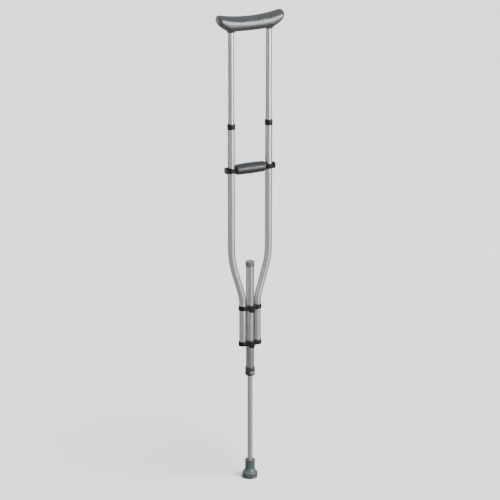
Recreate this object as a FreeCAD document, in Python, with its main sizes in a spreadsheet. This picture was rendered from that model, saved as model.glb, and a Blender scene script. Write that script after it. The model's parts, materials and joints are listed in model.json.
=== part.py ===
import FreeCAD, Part
import math
import os
from types import SimpleNamespace

import Sketcher

# An adjustable underarm crutch. Millimetres, +Z up, +X across the bow, -Y the front.
# The origin is where the middle of the rubber tip meets the floor. The crutch stands at one
# hole short of its longest setting, and every row of adjusting holes has the same spacing.

# Each driving dimension: its alias in the sheet, its millimetres, and what it measures.
DRIVING_SIZES = (
    ("hole_pitch", 25.4, "spacing of the adjusting holes"),
    ("running_gap", 0.08, "radial clearance of a guided sliding tube"),
    ("moving_gap", 0.3, "clearance round a moving piece that isn't guided"),
    ("bow_radius", 11.1, "outer radius of a bow tube"),
    ("bow_wall", 1.2, "wall of a bow tube"),
    ("bow_spread", 63.5, "bow tube axis from the middle, at the handle"),
    ("bow_foot", 25.0, "bow tube axis from the middle, at the clamps"),
    ("bow_bottom", 447.0, "lower end of the bow tubes"),
    ("bow_top", 1164.0, "upper end of the bow tubes"),
    ("waist_start", 576.8, "where the bow tubes begin to spread"),
    ("shoulder_end", 768.3, "where the bow tubes are upright again"),
    ("waist_bend", 167.0, "radius of the lower bend of a bow tube"),
    ("shoulder_bend", 268.0, "radius of the upper bend of a bow tube"),
    ("centre_radius", 12.7, "outer radius of the centre tube"),
    ("centre_wall", 1.5, "wall of the centre tube"),
    ("centre_bottom", 361.0, "lower end of the centre tube"),
    ("centre_top", 718.0, "upper end of the centre tube"),
    ("leg_radius", 7.94, "outer radius of the leg tube"),
    ("leg_wall", 1.4, "wall of the leg tube"),
    ("leg_bottom", 12.0, "lower end of the leg tube"),
    ("leg_top", 423.0, "upper end of the leg tube"),
    ("upper_radius", 9.525, "outer radius of an upper tube"),
    ("upper_wall", 1.2, "wall of an upper tube"),
    ("upper_bottom", 1050.0, "lower end of the upper tubes"),
    ("upper_top", 1481.0, "upper end of the upper tubes"),
    ("clamp_tall", 14.0, "height of a tube clamp"),
    ("lower_clamp_height", 453.0, "middle of the lower tube clamp"),
    ("upper_clamp_height", 570.0, "middle of the upper tube clamp"),
    ("clamp_skin", 2.3, "clamp material outside a bow tube"),
    ("clamp_split", 0.5, "half the gap between the clamp halves"),
    ("boss_half", 9.0, "half the width of the clamp's front boss"),
    ("boss_drop", 8.0, "how far the boss hangs below its clamp"),
    ("peg_radius", 3.0, "locating peg in the centre tube's front"),
    ("bolt_radius", 2.5, "clamp bolt shank"),
    ("bolt_seat", 13.0, "clamp bolt seats from the middle plane"),
    ("head_radius", 4.6, "clamp bolt head"),
    ("head_tall", 2.6, "height of a clamp bolt head"),
    ("nut_radius", 4.6, "clamp nut across its corners, halved"),
    ("nut_tall", 4.0, "height of a clamp nut"),
    ("collar_bottom", 344.0, "lower end of the lower collar"),
    ("collar_top", 372.0, "upper end of the lower collar"),
    ("collar_radius", 15.25, "outer radius of the lower collar"),
    ("collar_cap_tall", 5.5, "height of the lower collar's end cap"),
    ("latch_tall", 10.0, "height of the chamber of a tube latch"),
    ("leg_travel", 2.6, "travel of the leg's release button"),
    ("leg_latch_half", 10.0, "half the width of the leg's latch ring"),
    ("leg_button_half", 6.5, "half the width of the leg's release button"),
    ("leg_button_out", 17.6, "front of the release button from the axis"),
    ("button_round", 1.8, "rounding of a release button's face"),
    ("leg_pin_radius", 2.5, "locking pin of the leg"),
    ("leg_pin_nose", 5.9, "tip of the leg's locking pin from the axis"),
    ("latch_shoulder", 8.6, "where the leg's latch ring begins to narrow, in front of the axis"),
    ("latch_narrowing", 3.0, "length of that narrowing"),
    ("spring_radius", 2.6, "outer radius of a latch spring"),
    ("spring_wire", 0.35, "wire radius of a latch spring"),
    ("spring_pitch", 1.75, "pitch of a latch spring at rest"),
    ("spring_well", 3.4, "radius of a latch spring's well"),
    ("bush_tall", 23.0, "length of the leg's guide bush"),
    ("glide_tall", 12.0, "length of the glide on the leg's top"),
    ("rivet_radius", 1.6, "small cross pins of the collar and handle"),
    ("upper_collar_top", 1167.0, "top of the collars on the bow tubes"),
    ("upper_collar_tall", 17.0, "height of those collars"),
    ("upper_collar_radius", 12.4, "outer radius of those collars"),
    ("snap_height", 1070.8, "snap buttons of the upper tubes"),
    ("snap_radius", 3.1, "radius of a snap button"),
    ("snap_reach", 13.3, "top of a snap button from the tube's axis"),
    ("snap_flange", 3.8, "radius of a snap button's flange"),
    ("snap_hole", 3.3, "radius of the holes for the snap buttons"),
    ("handle_height", 1020.0, "axis of the handle"),
    ("clip_tall", 15.0, "height of a handle clip"),
    ("clip_half", 15.0, "half the depth of a handle clip"),
    ("clip_latch_half", 13.1, "half the depth of a handle's latch ring"),
    ("clip_narrows", 6.5, "where a handle clip begins to narrow, outside the tube's axis"),
    ("clip_mouth_half", 9.0, "half the depth of a clip at its button"),
    ("ring_narrows", 8.0, "where a handle's latch ring begins to narrow"),
    ("ring_neck_half", 10.0, "half the depth of that ring at its button"),
    ("spigot_end", 36.0, "inner end of a clip's spigot from the tube's axis"),
    ("cross_pin_in", 30.0, "cross pins of the handle from the bow tubes' axes"),
    ("handle_travel", 2.0, "travel of a handle's release button"),
    ("handle_pin_radius", 3.0, "locking pin of the handle"),
    ("handle_pin_hole", 3.2, "radius of the holes for those pins"),
    ("push_out", 19.4, "outer face of a handle button from the tube"),
    ("push_thick", 4.0, "thickness of a handle button"),
    ("push_tall", 18.6, "height of a handle button"),
    ("push_half", 11.0, "half the depth of a handle button"),
    ("core_radius", 11.0, "outer radius of the handle's core tube"),
    ("core_bore", 9.0, "inner radius of the handle's core tube"),
    ("core_half", 45.5, "half the length of the handle's core tube"),
    ("grip_radius", 18.5, "hand grip at its middle"),
    ("grip_end_radius", 17.0, "hand grip at its ends"),
    ("grip_half", 52.0, "half the length of the hand grip"),
    ("tip_tall", 60.0, "height of the rubber tip"),
    ("tip_foot_radius", 22.0, "outer edge of the tip's flat foot"),
    ("tip_bulge_radius", 24.5, "widest radius of the tip"),
    ("tip_bulge_height", 15.0, "height of the tip's widest place"),
    ("tip_neck_radius", 15.6, "radius of the tip's neck"),
    ("tip_neck_height", 30.0, "where the tip's neck begins"),
    ("tread_deep", 2.4, "depth of the grooves in the tip's foot"),
    ("washer_radius", 10.5, "radius of the washer in the tip"),
    ("washer_thick", 2.0, "thickness of that washer"),
    ("strip_thick", 0.5, "thickness of a snap button's spring strip"),
    ("strip_wide", 6.0, "width of that strip"),
    ("strip_gap", 1.0, "space between that strip, or a button's flange, and the tube"),
    ("strip_crown", 34.2, "top of its bend above the snap button"),
    ("pad_half", 110.5, "half the length of the underarm pad"),
    ("pad_deep", 48.0, "depth of the underarm pad"),
    ("pad_top", 1498.6, "top of the pad at its middle"),
    ("pad_bottom", 1450.6, "bottom of the pad at its middle"),
    ("pad_end_top", 1511.0, "top of the pad at its ends"),
    ("pad_end_bottom", 1478.0, "bottom of the pad at its ends"),
    ("pad_knee", 74.0, "where the pad's underside begins to rise, from the middle"),
    ("pad_knee_bottom", 1453.0, "bottom of the pad at that place"),
    ("pad_round", 13.0, "rounding of the pad's long edges"),
    ("bar_half", 92.0, "half the length of the underarm bar"),
    ("bar_deep", 26.0, "depth of the underarm bar"),
    ("bar_top", 1485.0, "top of the bar at its middle"),
    ("bar_bottom", 1463.0, "bottom of the bar at its middle"),
    ("bar_rise", 9.0, "how far the bar's ends rise"),
    ("tube_rivet_height", 1475.0, "rivets through the upper tubes"),
)

SNAP_HOLES = 13
LEG_HOLES = 13
HANDLE_HOLES = 7
HOLES_ABOVE_REST = 1  # every row has one hole above the place where the crutch stands at rest
SPRING_TURNS_LEG = 3.5
SPRING_TURNS_HANDLE = 5.5
PAST = 1.0  # how far a cut runs past the surface that it opens
PUSH_FIT = 0.1  # clearance of a piece that is pushed into place by hand

VECTOR = FreeCAD.Vector
NO_TURN = FreeCAD.Rotation()
HALF_TURN = FreeCAD.Rotation(VECTOR(0, 0, 1), 180)
# Rotations that carry +Z onto another axis.
AIMED = {
    "+X": FreeCAD.Rotation(VECTOR(0, 1, 0), 90),
    "-X": FreeCAD.Rotation(VECTOR(0, 1, 0), -90),
    "+Y": FreeCAD.Rotation(VECTOR(1, 0, 0), -90),
    "-Y": FreeCAD.Rotation(VECTOR(1, 0, 0), 90),
}

doc = FreeCAD.newDocument("underarm_crutch")
sub_parts = []


# ---------------------------------------------------------------- sizes


def plain(value):
    """The number in a Size, or the number itself."""
    return value.number if isinstance(value, Size) else float(value)


def wording(value):
    """The text of a Size, or of a number, for use in an expression."""
    return value.text if isinstance(value, Size) else repr(float(value))


class Size:
    """A number of millimetres that remembers the sheet expression it comes from."""

    def __init__(self, number, text):
        self.number = number
        self.text = text

    def __add__(self, other):
        return Size(self.number + plain(other), f"({self.text} + {wording(other)})")

    def __radd__(self, other):
        return Size(plain(other) + self.number, f"({wording(other)} + {self.text})")

    def __sub__(self, other):
        return Size(self.number - plain(other), f"({self.text} - {wording(other)})")

    def __rsub__(self, other):
        return Size(plain(other) - self.number, f"({wording(other)} - {self.text})")

    def __mul__(self, other):
        return Size(self.number * plain(other), f"({self.text} * {wording(other)})")

    __rmul__ = __mul__

    def __truediv__(self, other):
        return Size(self.number / plain(other), f"({self.text} / {wording(other)})")

    def __neg__(self):
        return Size(-self.number, f"(-1 * {self.text})")


def make_sheet():
    """The spreadsheet of driving dimensions, and one Size for each of its rows."""
    sheet = doc.addObject("Spreadsheet::Sheet", "Sizes")
    named = {}
    for row, (alias, number, meaning) in enumerate(DRIVING_SIZES, start=1):
        sheet.set(f"A{row}", alias)
        sheet.set(f"B{row}", str(number))
        sheet.set(f"C{row}", meaning)
        sheet.setAlias(f"B{row}", alias)
        named[alias] = Size(number, f"Sizes.{alias}")
    doc.recompute()
    return SimpleNamespace(**named)


s = make_sheet()


def bind(item, field, value):
    """Ties a property of item to an expression that gives the value."""
    item.setExpression(field, wording(value))


def put(item, at=(0, 0, 0), turn=NO_TURN):
    """Places an object at a point whose coordinates may come from the sheet."""
    item.Placement = FreeCAD.Placement(VECTOR(*(plain(v) for v in at)), turn)
    for axis, value in zip("xyz", at):
        bind(item, f"Placement.Base.{axis}", value)
    return item


def sub_part(item, label, at=(0, 0, 0), turn=NO_TURN):
    """Names a finished sub-part, places it and lists it for export."""
    item.Label = label
    put(item, at, turn)
    sub_parts.append(item)
    return item


# ---------------------------------------------------------------- sketches and features


def circle(radius, x=0, y=0):
    return ("circle", radius, x, y)


def end_at(sketch, index, point):
    """Which end of a sketched edge lies at a point: 1 for its start, 2 for its end."""
    return 1 if sketch.getPoint(index, 1).distanceToPoint(point) < 1e-6 else 2


def hold(sketch, index, which, x, y):
    """Ties a point of the sketch to coordinates from the sheet."""
    for kind, value, axis in (("DistanceX", x, -2), ("DistanceY", y, -1)):
        if plain(value) == 0:
            sketch.addConstraint(Sketcher.Constraint("PointOnObject", index, which, axis))
            continue
        made = sketch.addConstraint(Sketcher.Constraint(kind, -1, 1, index, which, plain(value)))
        if isinstance(value, Size):
            sketch.setExpression(f"Constraints[{made}]", value.text)


def hold_radius(sketch, index, radius):
    made = sketch.addConstraint(Sketcher.Constraint("Radius", index, plain(radius)))
    if isinstance(radius, Size):
        sketch.setExpression(f"Constraints[{made}]", radius.text)


def draw_circle(sketch, radius, x, y):
    centre = VECTOR(plain(x), plain(y), 0)
    index = sketch.addGeometry(Part.Circle(centre, VECTOR(0, 0, 1), plain(radius)))
    hold_radius(sketch, index, radius)
    hold(sketch, index, 3, x, y)


def draw_outline(sketch, corners):
    """A closed outline. A corner is (x, y), reached by a line from the corner before it, or
    (x, y, middle), reached by an arc through the point called middle."""
    points = [VECTOR(plain(c[0]), plain(c[1]), 0) for c in corners]
    for here, corner in enumerate(corners):
        before = points[here - 1]
        if len(corner) == 3:
            middle = VECTOR(plain(corner[2][0]), plain(corner[2][1]), 0)
            edge = Part.Arc(before, middle, points[here])
        else:
            edge = Part.LineSegment(before, points[here])
        index = sketch.addGeometry(edge)
        for place, corner_there in ((before, corners[here - 1]), (points[here], corner)):
            hold(sketch, index, end_at(sketch, index, place), corner_there[0], corner_there[1])


def make_body(name):
    return doc.addObject("PartDesign::Body", name)


def make_sketch(body, plane, height, *loops):
    """A sketch on one of the body's origin planes, moved along that plane's normal."""
    sketch = body.newObject("Sketcher::SketchObject", body.Name + "_sketch")
    support = next(f for f in body.Origin.OriginFeatures if f.Role == plane)
    sketch.AttachmentSupport = (support, [""])
    sketch.MapMode = "FlatFace"
    sketch.AttachmentOffset = FreeCAD.Placement(VECTOR(0, 0, plain(height)), NO_TURN)
    bind(sketch, "AttachmentOffset.Base.z", height)
    for loop in loops:
        if loop[0] == "circle":
            draw_circle(sketch, *loop[1:])
        else:
            draw_outline(sketch, loop)
    return sketch


def pad(body, plane, height, length, *loops):
    """Adds material from a sketch, along the plane's normal."""
    feature = body.newObject("PartDesign::Pad", body.Name + "_pad")
    feature.Profile = make_sketch(body, plane, height, *loops)
    bind(feature, "Length", length)
    body.Tip = feature
    return feature


def pocket(body, plane, height, length, *loops, backwards=False):
    """Takes material away from a sketch, along the plane's normal or against it."""
    doc.recompute()
    before = body.Shape.Volume
    feature = body.newObject("PartDesign::Pocket", body.Name + "_pocket")
    feature.Profile = make_sketch(body, plane, height, *loops)
    feature.Reversed = not backwards
    bind(feature, "Length", length)
    body.Tip = feature
    doc.recompute()
    if not body.Shape.Volume < before - 1e-3:
        raise RuntimeError(f"a pocket of {body.Name} cuts nothing")
    return feature


def hole_row(body, plane, height, length, first_hole, count, backwards=False):
    """A row of holes up one side of a tube, from its lowest hole."""
    feature = pocket(body, plane, height, length, first_hole, backwards=backwards)
    row = body.newObject("PartDesign::LinearPattern", body.Name + "_row")
    row.Originals = [feature]
    row.Direction = (feature.Profile[0], ["V_Axis"])
    bind(row, "Length", s.hole_pitch * (count - 1))
    row.Occurrences = count
    body.Tip = row
    return row


def turned(name, corners):
    """A body turned about its own Z axis from an outline of (radius, height) corners."""
    body = make_body(name)
    feature = body.newObject("PartDesign::Revolution", name + "_turned")
    sketch = make_sketch(body, "XZ_Plane", 0, corners)
    feature.Profile = sketch
    feature.ReferenceAxis = (sketch, ["V_Axis"])
    feature.Angle = 360
    body.Tip = feature
    return body


def rounded(body, radius, chosen):
    """Rounds the edges of the body that the test called chosen picks."""
    doc.recompute()
    tip = body.Tip
    names = [f"Edge{n}" for n, e in enumerate(tip.Shape.Edges, start=1) if chosen(e)]
    if not names:
        raise RuntimeError(f"no edge of {body.Name} to round")
    feature = body.newObject("PartDesign::Fillet", body.Name + "_rounded")
    feature.Base = (tip, names)
    bind(feature, "Radius", radius)
    body.Tip = feature
    return feature


def across_z(edge):
    """True for an edge that doesn't run up the body's Z axis."""
    return edge.BoundBox.ZLength < 1e-3


def stadium(radius, x_low, x_high):
    """A slot outline along X: half circles of one radius about two centres."""
    return [
        (x_low, -radius, (x_low - radius, 0)),
        (x_high, -radius),
        (x_high, radius, (x_high + radius, 0)),
        (x_low, radius),
    ]


def hexagon(radius):
    """A regular hexagon outline with a corner on the sketch's X axis."""
    corners = []
    for sixth in range(6):
        angle = math.radians(60 * sixth)
        corners.append((radius * round(math.cos(angle), 12), radius * round(math.sin(angle), 12)))
    return corners


def tube(name, outer, wall, length):
    """A straight round tube that stands on its own XY plane."""
    body = make_body(name)
    pad(body, "XY_Plane", 0, length, circle(outer), circle(outer - wall))
    return body


def rod(name, radius, length):
    """A plain round pin that stands on its own XY plane."""
    item = doc.addObject("Part::Cylinder", name)
    bind(item, "Radius", radius)
    bind(item, "Height", length)
    return item


def group(label, members):
    """Identical separate solids that share one node."""
    item = doc.addObject("Part::Compound", label)
    item.Links = members
    return sub_part(item, label)


def coil_spring(label, turns, at, turn):
    """A round-wire compression spring from its first turn's plane, along the aimed axis."""
    helix = doc.addObject("Part::Helix", label + "_line")
    bind(helix, "Pitch", s.spring_pitch)
    bind(helix, "Height", s.spring_pitch * turns)
    bind(helix, "Radius", s.spring_radius - s.spring_wire)
    wire = doc.addObject("Part::Circle", label + "_wire")
    bind(wire, "Radius", s.spring_wire)
    put(wire, (s.spring_radius - s.spring_wire, 0, 0), AIMED["-Y"])
    sweep = doc.addObject("Part::Sweep", label + "_sweep")
    sweep.Sections = [wire]
    sweep.Spine = (helix, ["Edge1"])
    sweep.Solid = True
    sweep.Frenet = True
    return sub_part(sweep, label, at, turn)


def lowest_hole(height_at_rest, count):
    """Height of a row's lowest hole, from the height of the one that is used at rest."""
    return height_at_rest + s.hole_pitch * (HOLES_ABOVE_REST + 1 - count)


# ---------------------------------------------------------------- the bow and its collars


def bow_line(body):
    """The centre line of a bow tube: upright, bent outwards, straight, bent back, upright."""
    foot, spread = s.bow_foot.number, s.bow_spread.number
    low, high = s.waist_start.number, s.shoulder_end.number
    waist, shoulder = s.waist_bend.number, s.shoulder_bend.number
    across = waist + shoulder - (spread - foot)
    lean = math.atan2(high - low, across)
    lean -= math.acos((waist + shoulder) / math.hypot(high - low, across))

    def on_waist(angle):
        return VECTOR(foot + waist * (1 - math.cos(angle)), low + waist * math.sin(angle), 0)

    def on_shoulder(angle):
        return VECTOR(spread - shoulder * (1 - math.cos(angle)), high - shoulder * math.sin(angle), 0)

    bottom = VECTOR(foot, s.bow_bottom.number, 0)
    top = VECTOR(spread, s.bow_top.number, 0)
    joints = [on_waist(0), on_waist(lean), on_shoulder(lean), on_shoulder(0)]
    path = make_sketch(body, "XZ_Plane", 0)
    edges = [
        path.addGeometry(Part.LineSegment(bottom, joints[0])),
        path.addGeometry(Part.Arc(joints[0], on_waist(lean / 2), joints[1])),
        path.addGeometry(Part.LineSegment(joints[1], joints[2])),
        path.addGeometry(Part.Arc(joints[2], on_shoulder(lean / 2), joints[3])),
        path.addGeometry(Part.LineSegment(joints[3], top)),
    ]
    for place, one, other in zip(joints, edges, edges[1:]):
        ends = (one, end_at(path, one, place), other, end_at(path, other, place))
        path.addConstraint(Sketcher.Constraint("Tangent", *ends))
    hold(path, edges[0], 1, s.bow_foot, s.bow_bottom)
    hold(path, edges[4], 2, s.bow_spread, s.bow_top)
    for upright, place, height in (
        (edges[0], joints[0], s.waist_start),
        (edges[4], joints[3], s.shoulder_end),
    ):
        path.addConstraint(Sketcher.Constraint("Vertical", upright))
        end = (upright, end_at(path, upright, place))
        level = Sketcher.Constraint("DistanceY", -1, 1, *end, height.number)
        made = path.addConstraint(level)
        path.setExpression(f"Constraints[{made}]", height.text)
    hold_radius(path, edges[1], s.waist_bend)
    hold_radius(path, edges[3], s.shoulder_bend)
    return path


def bow_tube(label, turn):
    """One side of the bow, with its snap holes outside and its handle holes inside."""
    body = make_body(label)
    path = bow_line(body)
    ring = make_sketch(
        body,
        "XY_Plane",
        s.bow_bottom,
        circle(s.bow_radius, s.bow_foot),
        circle(s.bow_radius - s.bow_wall, s.bow_foot),
    )
    pipe = body.newObject("PartDesign::AdditivePipe", label + "_pipe")
    pipe.Profile = ring
    pipe.Spine = path
    body.Tip = pipe
    reach = s.bow_radius + PAST
    bolt_hole = s.bolt_radius + s.moving_gap
    pocket(
        body,
        "XZ_Plane",
        -reach,
        reach * 2,
        circle(bolt_hole, s.bow_foot, s.lower_clamp_height),
        circle(bolt_hole, s.bow_foot, s.upper_clamp_height),
    )
    snap_hole = circle(s.snap_hole, 0, lowest_hole(s.snap_height, SNAP_HOLES))
    hole_row(body, "YZ_Plane", s.bow_spread, reach, snap_hole, SNAP_HOLES)
    pin_hole = circle(s.handle_pin_hole, 0, lowest_hole(s.handle_height, HANDLE_HOLES))
    hole_row(body, "YZ_Plane", s.bow_spread, reach, pin_hole, HANDLE_HOLES, backwards=True)
    return sub_part(body, label, turn=turn)


def bow_end_plugs():
    """A plastic plug that closes the lower end of each bow tube, short of the clamp bolt."""
    plugs = []
    inside = s.bow_radius - s.bow_wall
    stem = 3.0
    skin = 1.5
    flange = 1.8
    flange_edge = 1.0
    floor = 0.6
    for side, name in ((-1, "left_bow_plug"), (1, "right_bow_plug")):
        plug = turned(
            name,
            [
                (0, -flange),
                (inside, -flange),
                (s.bow_radius, -flange_edge),
                (s.bow_radius, 0),
                (inside, 0),
                (inside, stem),
                (inside - skin, stem),
                (inside - skin, floor),
                (0, floor),
            ],
        )
        plugs.append(put(plug, (s.bow_foot * side, 0, s.bow_bottom)))
    return group("bow_end_plugs", plugs)


def upper_collar(label, side):
    """The bush on a bow tube's top that guides the upper tube and hides the cut edge."""
    guide = s.upper_radius + s.running_gap
    tall = s.upper_collar_tall
    step = s.bow_top - s.upper_collar_top + tall
    body = turned(
        label,
        [
            (s.bow_radius, 0),
            (s.upper_collar_radius - 0.7, 0),
            (s.upper_collar_radius, 0.9),
            (s.upper_collar_radius, tall - 3.2),
            (guide + 1.6, tall, (s.upper_collar_radius - 0.5, tall - 1.0)),
            (guide, tall),
            (guide, step),
            (s.bow_radius, step),
        ],
    )
    return sub_part(body, label, (s.bow_spread * side, 0, s.upper_collar_top - tall))


# ---------------------------------------------------------------- the centre tube and its clamps


def peg_height(clamp_height):
    """The locating peg sits in the middle of the boss, which hangs below the clamp."""
    return clamp_height - s.boss_drop / 2


def collar_pin_height():
    """The collar's pins cross the stretch where the collar holds the centre tube."""
    return (s.centre_bottom + s.collar_top) / 2


def centre_tube():
    """The tube that the bow is clamped to and that the leg slides in."""
    length = s.centre_top - s.centre_bottom
    body = tube("centre_tube", s.centre_radius, s.centre_wall, length)
    reach = s.centre_radius + PAST
    peg_hole = s.peg_radius + PUSH_FIT
    pocket(
        body,
        "XZ_Plane",
        0,
        reach,
        circle(peg_hole, 0, peg_height(s.lower_clamp_height) - s.centre_bottom),
        circle(peg_hole, 0, peg_height(s.upper_clamp_height) - s.centre_bottom),
    )
    pin = circle(s.rivet_radius, 0, collar_pin_height() - s.centre_bottom)
    pocket(body, "YZ_Plane", -reach, reach * 2, pin)
    return sub_part(body, "centre_tube", (0, 0, s.centre_bottom))


def centre_tube_cap():
    """The plastic cap over the centre tube's open top."""
    skirt = 15.0
    skin = 1.2
    crown = skirt + 2.2
    shoulder = 2.4
    outside = s.centre_radius + skin
    body = turned(
        "centre_tube_cap",
        [
            (s.centre_radius, 0),
            (outside - 0.4, 0),
            (outside, 0.5),
            (outside, skirt),
            (outside - shoulder, crown, (outside - 0.7, crown - 0.6)),
            (0, crown),
            (0, skirt),
            (s.centre_radius, skirt),
        ],
    )
    return sub_part(body, "centre_tube_cap", (0, 0, s.centre_top - skirt))


def clamp_half(label, height, front):
    """Half of a clamp round the three tubes. The front half has the boss with its peg."""
    side = -1 if front else 1
    outer = s.bow_radius + s.clamp_skin
    ridge = s.centre_radius + s.clamp_skin
    end = s.bow_foot + outer
    slant = outer * math.sqrt(0.5)
    half = s.clamp_tall / 2
    edge = 1.2
    clear_of_split = 5
    body = make_body(label)
    band = [
        (end, s.clamp_split * side),
        (s.bow_foot, outer * side, (s.bow_foot + slant, slant * side)),
        (s.boss_half, ridge * side),
        (-s.boss_half, ridge * side),
        (-s.bow_foot, outer * side),
        (-end, s.clamp_split * side, (-s.bow_foot - slant, slant * side)),
    ]
    pad(body, "XY_Plane", -half, s.clamp_tall, band)
    rounded(body, edge, lambda e: across_z(e) and abs(e.CenterOfMass.y) > clear_of_split)
    boss_low = -half - s.boss_drop if front else -half
    if front:
        corner = 3
        shield = [
            (-s.boss_half, boss_low + corner),
            (-s.boss_half + corner, boss_low),
            (s.boss_half - corner, boss_low),
            (s.boss_half, boss_low + corner),
            (s.boss_half, half),
            (-s.boss_half, half),
        ]
        proud = 2.6
        face = ridge + proud
        boss = pad(body, "XZ_Plane", s.clamp_split, face - s.clamp_split, shield)
        boss_face = -face.number
        rounded(body, edge, lambda e: abs(e.BoundBox.YMin - boss_face) < 1e-3 > e.BoundBox.YLength)
        boss.Label = label + "_boss"
    pocket(
        body,
        "XY_Plane",
        boss_low - PAST,
        half - boss_low + PAST * 2,
        circle(s.centre_radius),
        circle(s.bow_radius, s.bow_foot),
        circle(s.bow_radius, -s.bow_foot),
    )
    if front:
        peg_long = 2.5
        peg_inside = s.centre_radius - s.centre_wall + PUSH_FIT
        pad(body, "XZ_Plane", peg_inside, peg_long, circle(s.peg_radius, 0, -s.boss_drop / 2))
    well = 5
    head_well = s.head_radius + s.moving_gap
    nut_well = s.nut_radius + s.moving_gap * 2
    seat = s.bolt_seat * -side
    for where in (s.bow_foot, -s.bow_foot):
        if front:
            pocket(body, "XZ_Plane", seat, well, circle(head_well, where, 0))
            pocket(body, "XZ_Plane", 0, seat + PAST, circle(s.bolt_radius, where, 0))
        else:
            pocket(body, "XZ_Plane", seat - well, well, circle(nut_well, where, 0))
            pocket(body, "XZ_Plane", seat - PAST, PAST - seat, circle(s.bolt_radius, where, 0))
    return sub_part(body, label, (0, 0, height))


def clamp_bolts():
    """A round-headed bolt through each end of each clamp, its head in front."""
    bolts = []
    past_nut = 0.8
    socket = hexagon(s.bolt_radius * 0.66)
    socket_deep = 1.5
    tail = -2 * s.bolt_seat - s.nut_tall - past_nut
    for height in (s.lower_clamp_height, s.upper_clamp_height):
        for side in (-1, 1):
            body = turned(
                f"clamp_bolt_{len(bolts) + 1}",
                [
                    (0, tail),
                    (s.bolt_radius - 0.5, tail),
                    (s.bolt_radius, tail + 0.5),
                    (s.bolt_radius, 0),
                    (s.head_radius, 0),
                    (s.head_radius, 0.9),
                    (0, s.head_tall, (s.head_radius * 0.6, s.head_tall * 0.86)),
                ],
            )
            pocket(body, "XY_Plane", s.head_tall - socket_deep, socket_deep + PAST, socket)
            bolts.append(put(body, (s.bow_foot * side, -s.bolt_seat, height), AIMED["-Y"]))
    return group("clamp_bolts", bolts)


def clamp_nuts():
    """The nut on each clamp bolt, behind."""
    nuts = []
    for height in (s.lower_clamp_height, s.upper_clamp_height):
        for side in (-1, 1):
            body = make_body(f"clamp_nut_{len(nuts) + 1}")
            pad(body, "XY_Plane", 0, s.nut_tall, hexagon(s.nut_radius), circle(s.bolt_radius))
            nuts.append(put(body, (s.bow_foot * side, s.bolt_seat, height), AIMED["+Y"]))
    return group("clamp_nuts", nuts)


# ---------------------------------------------------------------- the lower collar and the leg's latch


def leg_pin_height():
    """The leg's locking pin lies in the middle of the latch chamber."""
    return s.collar_bottom + s.collar_cap_tall + s.latch_tall / 2


def latch_plan(half, shoulder, mouth, front, centre):
    """Plan of the leg's latch: round behind the leg, straight beside it, narrow in front."""
    neck = shoulder - s.latch_narrowing
    return [
        (-half, centre, (0, centre + half)),
        (-half, shoulder),
        (-mouth, neck),
        (-mouth, front),
        (mouth, front),
        (mouth, neck),
        (half, shoulder),
        (half, centre),
    ]


def lower_collar():
    """The moulding on the centre tube's foot: it holds the leg's latch and its spring."""
    floor = s.collar_cap_tall
    seat = s.centre_bottom - s.collar_bottom
    top = s.collar_top - s.collar_bottom
    boss_wall = 1.6
    boss_deep = 6
    chamber_middle = floor + s.latch_tall / 2
    leg_hole = s.leg_radius + 0.5
    edge = 1.2
    body = turned(
        "lower_collar",
        [
            (leg_hole, floor),
            (s.collar_radius, floor),
            (s.collar_radius, top - edge),
            (s.collar_radius - edge, top, (s.collar_radius - edge * 0.3, top - edge * 0.3)),
            (s.centre_radius, top),
            (s.centre_radius, seat),
            (leg_hole, seat),
        ],
    )
    well_end = leg_spring_back() + s.moving_gap
    boss = circle(s.spring_well + boss_wall, 0, chamber_middle)
    pad(body, "XZ_Plane", -well_end - boss_wall, boss_deep, boss)
    chamber = latch_plan(
        s.leg_latch_half + s.moving_gap,
        -s.latch_shoulder - s.moving_gap - PUSH_FIT,
        s.leg_button_half + s.moving_gap,
        -s.leg_button_out - s.leg_travel,
        s.leg_travel,
    )
    pocket(body, "XY_Plane", floor, s.latch_tall, chamber)
    pocket(body, "XZ_Plane", -well_end, boss_deep, circle(s.spring_well, 0, chamber_middle))
    pin = circle(s.rivet_radius, 0, collar_pin_height() - s.collar_bottom)
    pocket(body, "YZ_Plane", -s.collar_radius - PAST, (s.collar_radius + PAST) * 2, pin)
    return sub_part(body, "lower_collar", (0, 0, s.collar_bottom))


def lower_collar_cap():
    """The tapered ring that closes the latch chamber from below and guides the leg."""
    guide = s.leg_radius + s.running_gap
    mouth = s.collar_radius - 3.0
    band = 1.5
    body = turned(
        "lower_collar_cap",
        [
            (guide, 0),
            (mouth, 0),
            (s.collar_radius, s.collar_cap_tall - band, (s.collar_radius - 1.0, 1.4)),
            (s.collar_radius, s.collar_cap_tall),
            (guide, s.collar_cap_tall),
        ],
    )
    return sub_part(body, "lower_collar_cap", (0, 0, s.collar_bottom))


def collar_pin_end():
    """How near the collar's pins come to the axis, just short of the leg."""
    return s.leg_radius + 1


def leg_guide_bush():
    """The reducing bush in the centre tube's foot that the leg slides through."""
    guide = s.leg_radius + s.running_gap
    outside = s.centre_radius - s.centre_wall
    body = tube("leg_guide_bush", outside, outside - guide, s.bush_tall)
    pin = circle(s.rivet_radius, 0, collar_pin_height() - s.centre_bottom)
    deep = outside - collar_pin_end() + PAST
    pocket(body, "YZ_Plane", collar_pin_end(), deep, pin)
    pocket(body, "YZ_Plane", -collar_pin_end() - deep, deep, pin)
    return sub_part(body, "leg_guide_bush", (0, 0, s.centre_bottom))


def collar_pins():
    """The pins that hold the collar, the centre tube and the bush together."""
    pins = []
    sunk = 0.3
    long = s.collar_radius - sunk - collar_pin_end()
    for side, axis in ((-1, "-X"), (1, "+X")):
        pin = rod(f"collar_pin_{len(pins) + 1}", s.rivet_radius, long)
        pins.append(put(pin, (collar_pin_end() * side, 0, collar_pin_height()), AIMED[axis]))
    return group("collar_pins", pins)


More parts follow.
